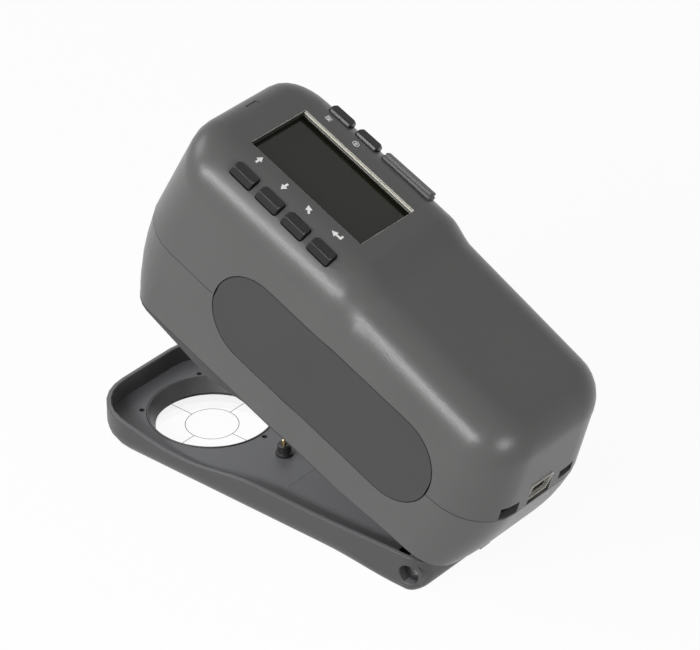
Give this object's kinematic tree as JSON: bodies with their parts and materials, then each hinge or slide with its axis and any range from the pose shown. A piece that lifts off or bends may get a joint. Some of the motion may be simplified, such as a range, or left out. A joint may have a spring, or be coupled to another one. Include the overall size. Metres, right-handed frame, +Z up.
{
  "type": "portable spectrophotometer",
  "caption": "Hand-held colour measuring instrument with display and keys, hinged on a flat target shoe; pressing the body down on its spring takes a reading through the target window.",
  "frame": {"origin": "centre of the target on the plane the shoe rests on", "axes": "+X back towards the hinge, +Y to the right seen from the rear, +Z up"},
  "size_m": [0.2235, 0.0832, 0.1691],
  "materials": {
    "housing": "satin moulded grey",
    "skirt": "matt dark grey",
    "shoe": "satin dark grey",
    "grip": "matt dark grey",
    "key": "satin black",
    "black": "matt black",
    "clear": "clear",
    "brass": "turned",
    "steel": "plain",
    "screw": "blackened",
    "label": "smooth",
    "cast": "black anodised",
    "metal": "plain",
    "display_glass": "dark clear",
    "gasket": "matt ivory",
    "display": "dull olive",
    "board": "solder mask",
    "light": "smoked",
    "cell": "sleeved",
    "socket": "pale",
    "ceramic": "unglazed",
    "filter": "coloured"
  },
  "bodies": {
    "shoe": {"shoe_tray": "shoe", "target_ring": "black", "target_window": "clear", "trigger_post": "black", "trigger_spring": "steel", "shoe_label": "label", "hinge_pin": "steel", "hinge_bushings": "black", "hinge_springs": "steel"},
    "trigger": {"trigger_pin": "brass"},
    "lock": {"lock_slide": "black"},
    "instrument": {"upper_housing": "housing", "lower_housing": "housing", "bottom_cover": "skirt", "hinge_bracket": "cast", "left_grip": "grip", "right_grip": "grip", "display_window": "display_glass", "display_gasket": "gasket", "display_module": "display", "keypad_board": "board", "key_switches": "black", "board_screws": "steel", "blank_bar": "housing", "status_light": "light", "chassis": "metal", "main_board": "board", "board_spacers": "brass", "main_board_chips": "black", "beeper": "black", "battery_holder": "black", "battery_cells": "cell", "rear_board": "board", "power_jack": "black", "data_jack": "socket", "switch_body": "black", "measuring_nose": "black", "aperture_ring": "metal", "optics_block": "cast", "lens": "clear", "lamp": "clear", "lamp_socket": "ceramic", "filter_motor": "steel", "detector_board": "board", "read_switch": "black", "housing_screws": "screw"},
    "wheel": {"filter_wheel": "cast", "filter_glasses": "filter", "wheel_shaft": "steel"},
    "switch": {"power_switch": "key"},
    "up": {"up_key": "key"},
    "down": {"down_key": "key"},
    "back": {"back_key": "key"},
    "enter": {"enter_key": "key"},
    "menu": {"menu_key": "key"},
    "read": {"read_key": "key"}
  },
  "joints": [
    {"name": "body_tilt", "type": "hinge", "parent": "shoe", "child": "instrument", "pos_m": [0.141, 0, 0.0095], "axis": [0, 1, 0], "range_deg": [-24, 0], "stiffness_Nm_per_rad": 1.6, "springref_deg": 45.84, "deforming": ["hinge_springs"]},
    {"name": "trigger_press", "type": "slide", "parent": "shoe", "child": "trigger", "axis": [0, 0, -1], "range_m": [0, 0.0015], "stiffness_N_per_m": 300, "springref_m": -0.001, "deforming": ["trigger_spring"]},
    {"name": "lock_slide", "type": "slide", "parent": "shoe", "child": "lock", "axis": [0, 1, 0], "range_m": [-0.002, 0.002]},
    {"name": "wheel_spin", "type": "hinge", "parent": "instrument", "child": "wheel", "pos_m": [0.07622, 0, 0.09143], "axis": [0.9135, 0, -0.4067], "continuous": true},
    {"name": "power_slide", "type": "slide", "parent": "instrument", "child": "switch", "axis": [0, 1, 0], "range_m": [0, 0.003]},
    {"name": "up_press", "type": "slide", "parent": "instrument", "child": "up", "axis": [-0.3407, 0.5054, -0.7927], "range_m": [0, 0.0009], "stiffness_N_per_m": 500, "springref_m": -0.001},
    {"name": "down_press", "type": "slide", "parent": "instrument", "child": "down", "axis": [-0.3365, 0.5213, -0.7842], "range_m": [0, 0.0009], "stiffness_N_per_m": 500, "springref_m": -0.001},
    {"name": "back_press", "type": "slide", "parent": "instrument", "child": "back", "axis": [-0.3322, 0.5372, -0.7753], "range_m": [0, 0.0009], "stiffness_N_per_m": 500, "springref_m": -0.001},
    {"name": "enter_press", "type": "slide", "parent": "instrument", "child": "enter", "axis": [-0.3276, 0.5531, -0.766], "range_m": [0, 0.0009], "stiffness_N_per_m": 500, "springref_m": -0.001},
    {"name": "menu_press", "type": "slide", "parent": "instrument", "child": "menu", "axis": [-0.3407, -0.5054, -0.7927], "range_m": [0, 0.0009], "stiffness_N_per_m": 500, "springref_m": -0.001},
    {"name": "read_press", "type": "slide", "parent": "instrument", "child": "read", "axis": [-0.3365, -0.5213, -0.7842], "range_m": [0, 0.0009], "stiffness_N_per_m": 500, "springref_m": -0.001}
  ]
}
